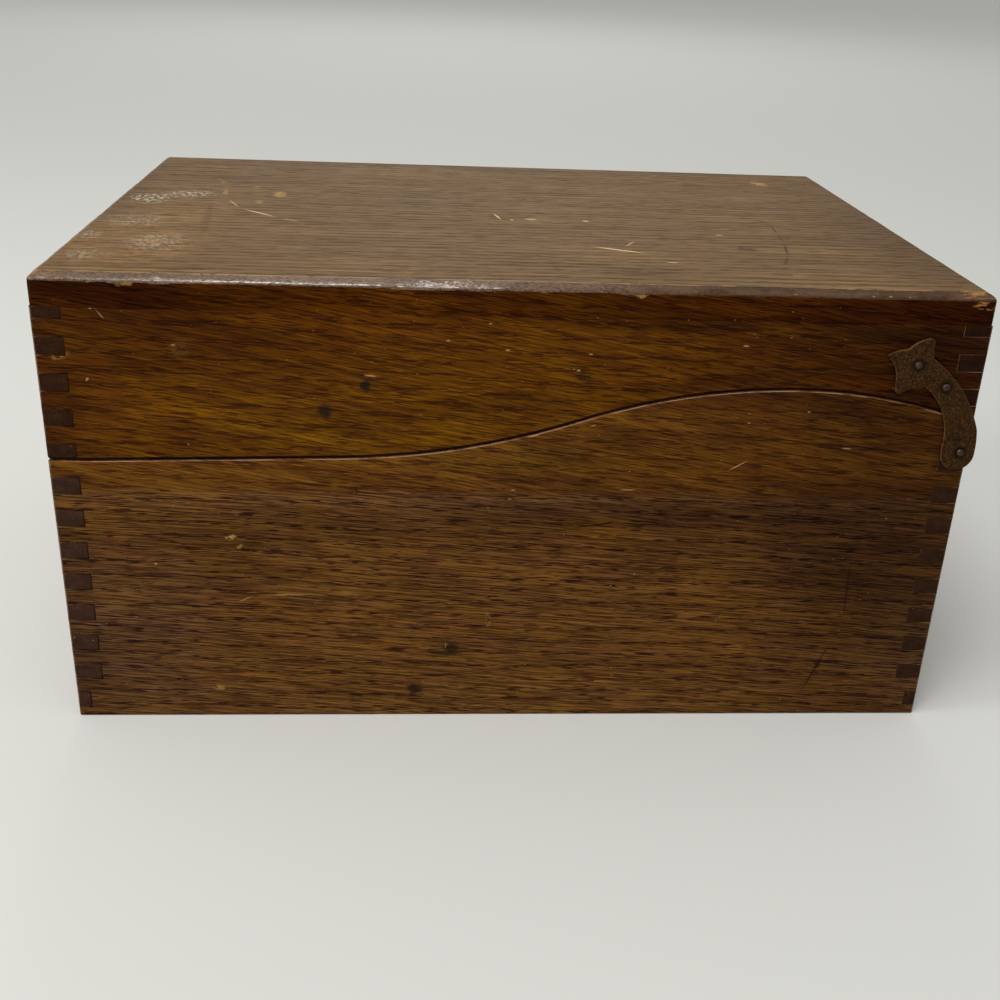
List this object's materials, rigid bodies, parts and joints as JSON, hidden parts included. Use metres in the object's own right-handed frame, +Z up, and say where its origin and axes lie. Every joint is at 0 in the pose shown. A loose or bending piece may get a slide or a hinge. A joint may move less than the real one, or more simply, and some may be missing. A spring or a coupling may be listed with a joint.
{
  "type": "recipe card box",
  "caption": "Finger-jointed oak box for upright recipe cards, with a deep lid sawn off along a wavy line and hung on two ornamental side straps.",
  "frame": {"origin": "middle of the bounding box, on the table under the box", "axes": "+X from the front, where the lid opens, to the hinge end; +Y to the left of someone who faces the front; +Z up"},
  "size_m": [0.2454, 0.1746, 0.1286],
  "materials": {
    "oak_base_side": "aged dark oak stain under a worn satin varnish",
    "oak_lid_side": "aged dark oak stain under a worn satin varnish",
    "oak_end": "aged dark oak stain under a worn satin varnish",
    "oak_bottom": "bare aged oak",
    "oak_top": "worn greyish brown oak with rubbed edges",
    "strap_metal": "tarnished brown plating on sheet steel, mottled",
    "nail_metal": "brown plating rubbed bright on the round heads"
  },
  "bodies": {
    "base": {"base_side_right": "oak_base_side", "base_side_left": "oak_base_side", "base_front": "oak_end", "base_back": "oak_end", "base_bottom": "oak_bottom", "pivot_pins": "nail_metal"},
    "lid": {"lid_side_right": "oak_lid_side", "lid_side_left": "oak_lid_side", "lid_front": "oak_end", "lid_back": "oak_end", "lid_top": "oak_top", "hinge_strap_right": "strap_metal", "hinge_strap_left": "strap_metal", "strap_nails": "nail_metal"}
  },
  "joints": [
    {"name": "lid_hinge", "type": "hinge", "parent": "base", "child": "lid", "pos_m": [0.11875, 0, 0.08515], "axis": [0, 1, 0], "range_deg": [0, 145]}
  ]
}
